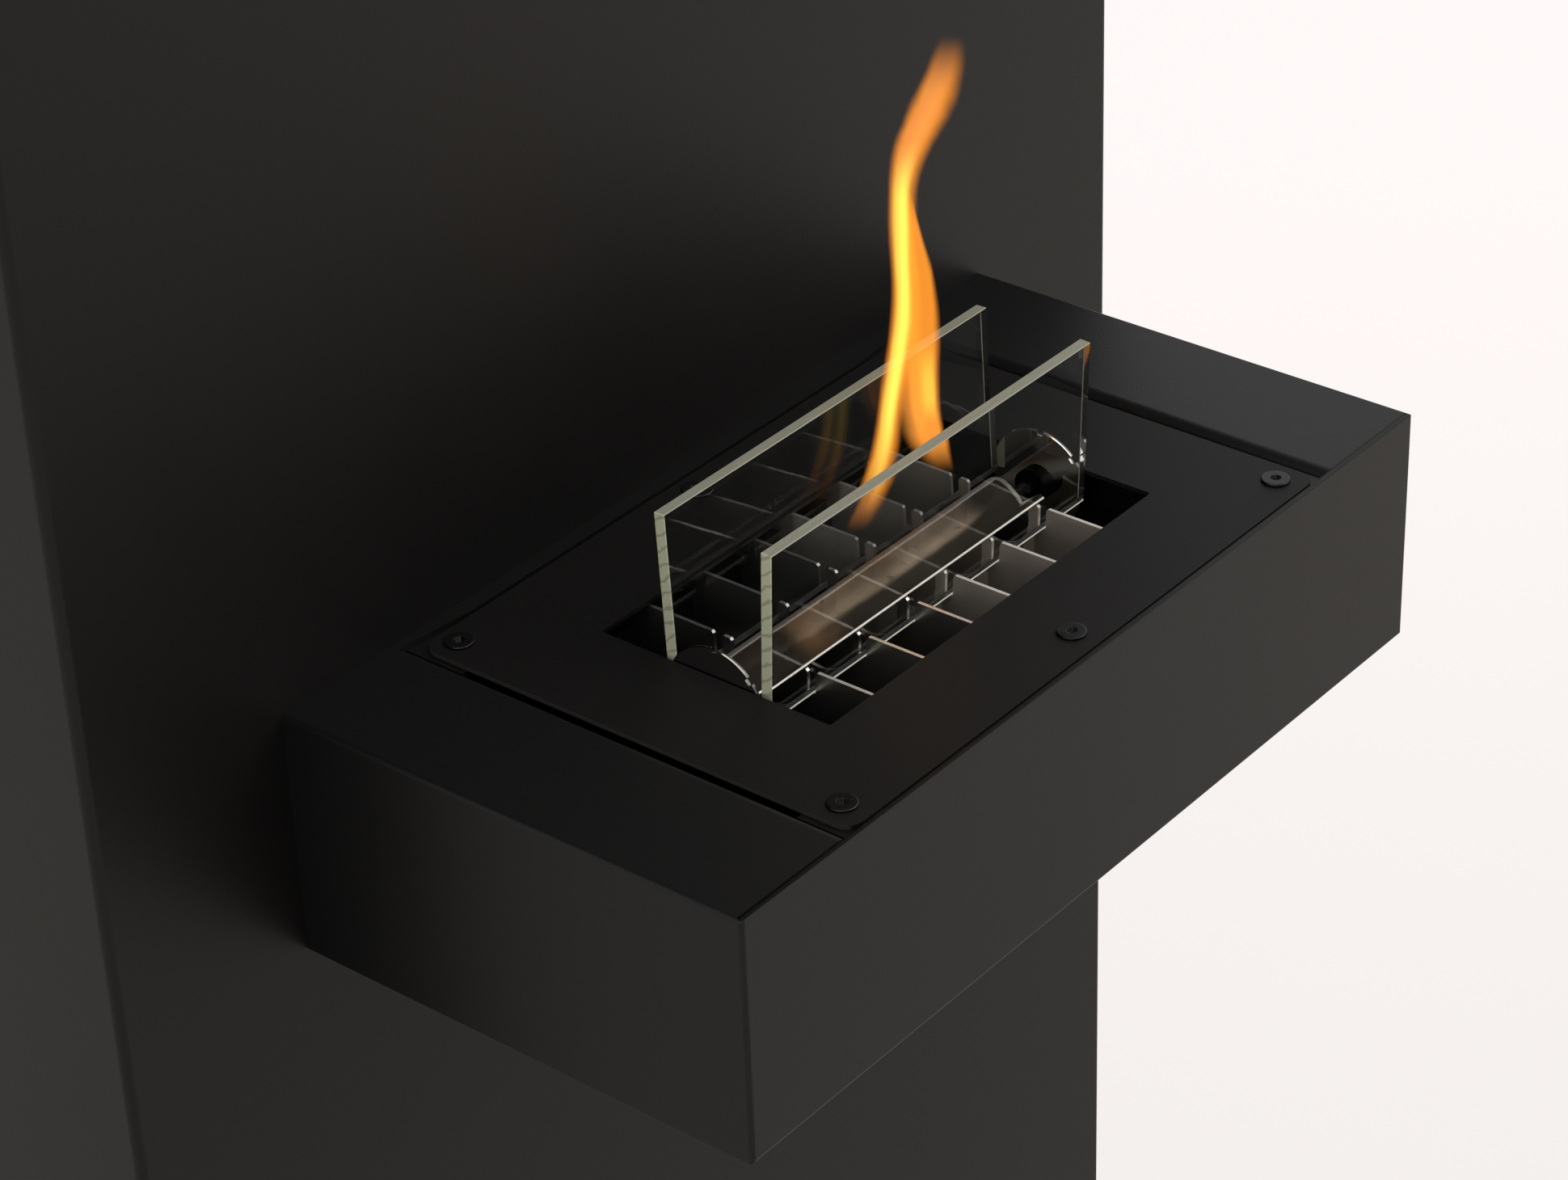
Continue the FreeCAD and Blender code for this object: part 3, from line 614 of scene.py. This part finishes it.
def flame_sheet(table, plane, heading, width):
    """Rows climb the middle line of a tongue, columns run level across it at the given heading. A table
    gives the middle's x, its height and the half width from the foot up, smoothed along the height."""
    row, own = np.linspace(0, 1, sheet_rows), np.linspace(0, 1, len(table))
    middle, height, half = [smoothed(np.interp(row, own, column))[:, None] for column in np.array(table).T]
    across = np.linspace(-1, 1, sheet_columns) * half * width
    points = np.stack([middle + across * math.cos(heading), plane + across * math.sin(heading),
                       np.repeat(height, sheet_columns, 1)], axis=-1)
    return points, grid_faces(sheet_rows, sheet_columns, closed=False)


def mapped(sheet):
    """Gives a sheet its map: 0 to 1 across, 0 to 1 up."""
    corner = np.empty(len(sheet.data.loops), dtype=int)
    sheet.data.loops.foreach_get("vertex_index", corner)
    place = np.stack([corner % sheet_columns / (sheet_columns - 1),
                      corner // sheet_columns / (sheet_rows - 1)], axis=-1)
    sheet.data.uv_layers.new(name="sheet").data.foreach_set("uv", place.ravel())


def tongue(name, table, plane, main, heart):
    """The main sheet faces the room, and two narrow ones stand across it to fill its heart."""
    for number, (width, glow) in enumerate(((1.0, main), (cross_width, heart), (cross_width, heart))):
        heading = math.radians(main_heading + number * cross_turn)
        points, faces = flame_sheet(table, plane, heading, width)
        mapped(piece(f"{name}_tongue_{number + 1}", points, faces, glow, "frame"))


def sheet_map(gas):
    """The place across and up a sheet, with the first shifted a little by slow wisps."""
    across, up = gas.axes(gas.node("ShaderNodeUVMap", {"uv_map": "sheet"}, {}))[:2]
    wisp = gas.noise(0.010, 2.0, (0.5, 0.5, 4.0))
    return across + 0.10 * wisp - 0.05, up


def burning(gas, colour, alpha):
    """A black body that glows in a colour and thins out to nothing."""
    return gas.done(gas.surface(Base_Color=(0.0, 0.0, 0.0, 1.0), Roughness=1.0, Specular_IOR_Level=0.0,
                                Emission_Color=colour, Emission_Strength=1.5, Alpha=0.66 * alpha))


def tall_colours(gas, up):
    """Orange at the foot, yellow most of the way up and orange again at the tip."""
    warm = gas.mix(up.between(0.08, 0.31), (0.80, 0.26, 0.04), (1.0, 0.80, 0.11))
    return gas.mix(up.between(0.65, 0.775), warm, (0.92, 0.31, 0.06))


def short_colours(gas, up):
    """A bright foot that turns deep orange."""
    return gas.mix(up.between(0.15, 0.45), (1.0, 0.34, 0.045), (0.96, 0.31, 0.028))


tall_main = Finish("tall_tongue_glow")
across, up = sheet_map(tall_main)
left_rim = tall_main.mix(across.between(0.12, 0.36), (0.95, 0.30, 0.03), tall_colours(tall_main, up))
both_rims = tall_main.mix(across.between(0.48, 0.80), left_rim, (0.96, 0.305, 0.026))
tall_glow = burning(tall_main, both_rims,
                    across.between(0.02, 0.28) * (1.0 - across.between(0.60, 0.98))
                    * up.between(0.045, 0.195) * (1.0 - up.between(0.84, 0.99)))
tall_heart = Finish("tall_tongue_heart")
across, up = sheet_map(tall_heart)
inside = 1.0 - abs(across * 2.0 - 1.0)
tall_fill = burning(tall_heart, tall_colours(tall_heart, up),
                    0.5 * inside.between(0.0, 0.8) * up.between(0.08, 0.16) * (1.0 - up.between(0.72, 0.925)))
tongue("tall", tall_table, flame_y, tall_glow, tall_fill)
short_main = Finish("short_tongue_glow")
across, up = sheet_map(short_main)
right_rim = (across.between(0.50, 0.72) * (1.0 - across.between(0.80, 0.94))
             * up.between(0.16, 0.26) * (1.0 - up.between(0.30, 0.46)))
short_glow = burning(short_main, short_main.mix(right_rim, short_colours(short_main, up), (1.0, 0.64, 0.07)),
                     across.between(0.0, 0.50) * (1.0 - across.between(0.84, 1.0))
                     * up.between(0.0, 0.14) * (1.0 - up.between(0.80, 1.0)))
short_heart = Finish("short_tongue_heart")
across, up = sheet_map(short_heart)
inside = 1.0 - abs(across * 2.0 - 1.0)
short_fill = burning(short_heart, short_colours(short_heart, up),
                     0.35 * inside.between(0.0, 0.8) * up.between(0.05, 0.25)
                     * (1.0 - up.between(0.70, 0.95)))
tongue("short", short_table, flame_y + short_step, short_glow, short_fill)


# Floor, light and camera
# A pale studio floor under the casing, white surroundings and soft light from the front right and
# the left. The floor is painted a little darker towards the near side, and where it is mirrored it
# carries a painted shadow around the casing. The camera stands to the left of the box and looks down on it.
floor_half, floor_z = 14.0, -1.0
ahead_x, ahead_y, casing_y = 0.768, 0.641, -0.2
floor_corners = [(x * floor_half, y * floor_half, floor_z) for x, y in ((-1, -1), (1, -1), (1, 1), (-1, 1))]
floor_mesh = bpy.data.meshes.new("studio_floor")
floor_mesh.from_pydata(floor_corners, [], [(0, 1, 2, 3)])
floor = bpy.data.objects.new("studio_floor", floor_mesh)
bpy.context.scene.collection.objects.link(floor)
paper = Finish("floor_paper")
seen = paper.node("ShaderNodeLightPath", {}, {}, "Is Camera Ray")
glossy, through = [Value(paper, seen.socket.node.outputs[kind])
                   for kind in ("Is Glossy Ray", "Is Transmission Ray")]
shown = (seen + glossy + through).capped()
fibre = paper.noise(0.8, 2.0)
matte = paper.surface(Base_Color=paper.mix(fibre, (0.80, 0.78, 0.77), (0.84, 0.82, 0.81)), Roughness=0.8)
paper_x, paper_y = paper.axes()[:2]
# Painted fall-off of light: the floor seen from the camera is a little darker towards the near side.
depth = (ahead_x * paper_x + ahead_y * paper_y).between(0.0, 1.6)
pale_with_painted_falloff = paper.mix(depth, (0.935, 0.900, 0.875), (1.07, 1.0, 1.0))
# Painted shadow: the floor, where it is mirrored, is darker close to the casing.
shadow_fade = (paper_x ** 2.0 + (paper_y - casing_y) ** 2.0).math("SQRT").between(0.3, 1.7)
mirrored_with_painted_shadow = paper.mix(shadow_fade, (0.66, 0.61, 0.56), (1.0, 0.92, 0.84))
glow = paper.node("ShaderNodeEmission", {}, {"Color": paper.mix(glossy, pale_with_painted_falloff, mirrored_with_painted_shadow), "Strength": 1.0})
floor_mesh.materials.append(paper.done(
    paper.node("ShaderNodeMixShader", {}, {0: shown * 0.85, 1: matte, 2: glow})))

world = bpy.data.worlds.new("studio")
bpy.context.scene.world = world
world.use_nodes = True
sky = world.node_tree.nodes
sky.clear()
ray = sky.new("ShaderNodeLightPath")
add_glossy = sky.new("ShaderNodeMath")
add_through = sky.new("ShaderNodeMath")
strength = sky.new("ShaderNodeMapRange")
air = sky.new("ShaderNodeBackground")
sky_out = sky.new("ShaderNodeOutputWorld")
air.inputs["Color"].default_value = (1.0, 0.99, 0.985, 1.0)
strength.inputs["To Min"].default_value = 0.55
strength.inputs["To Max"].default_value = 1.0
links = world.node_tree.links
links.new(ray.outputs["Is Camera Ray"], add_glossy.inputs[0])
links.new(ray.outputs["Is Glossy Ray"], add_glossy.inputs[1])
links.new(add_glossy.outputs[0], add_through.inputs[0])
links.new(ray.outputs["Is Transmission Ray"], add_through.inputs[1])
links.new(add_through.outputs[0], strength.inputs["Value"])
links.new(strength.outputs["Result"], air.inputs["Strength"])
links.new(air.outputs[0], sky_out.inputs["Surface"])


def softbox(name, place, target, width, watts, colour):
    """A square area lamp that looks from a place to a target."""
    lamp = bpy.data.lights.new(name, "AREA")
    lamp.shape, lamp.size, lamp.energy, lamp.color = "SQUARE", width, watts, colour
    made = bpy.data.objects.new(name, lamp)
    made.location = place
    direction = np.subtract(target, place)
    turn = math.atan2(direction[1], direction[0])
    tilt = math.atan2(direction[2], math.hypot(direction[0], direction[1]))
    made.rotation_euler = (math.pi / 2 + tilt, 0, turn - math.pi / 2)
    bpy.context.scene.collection.objects.link(made)


box_middle = (0.0, -0.15, -0.4)
softbox("front_right_box", (1.6, -2.4, 1.4), box_middle, 3.0, 60.0, (1.0, 0.96, 0.92))
softbox("left_box", (-2.2, -0.6, 0.9), box_middle, 2.6, 22.0, (1.0, 0.98, 0.96))

view = bpy.data.cameras.new("photo_view")
view.sensor_width = 36.0
view.lens = 95.77
view.clip_start = 0.01
viewer = bpy.data.objects.new("photo_view", view)
viewer.location = (-0.86912, -0.87571, 0.29986)
viewer.rotation_euler = [math.radians(a) for a in (58.42487, 1.93613, -51.32105)]
bpy.context.scene.collection.objects.link(viewer)
bpy.context.scene.camera = viewer
bpy.context.scene.view_settings.view_transform = "Standard"
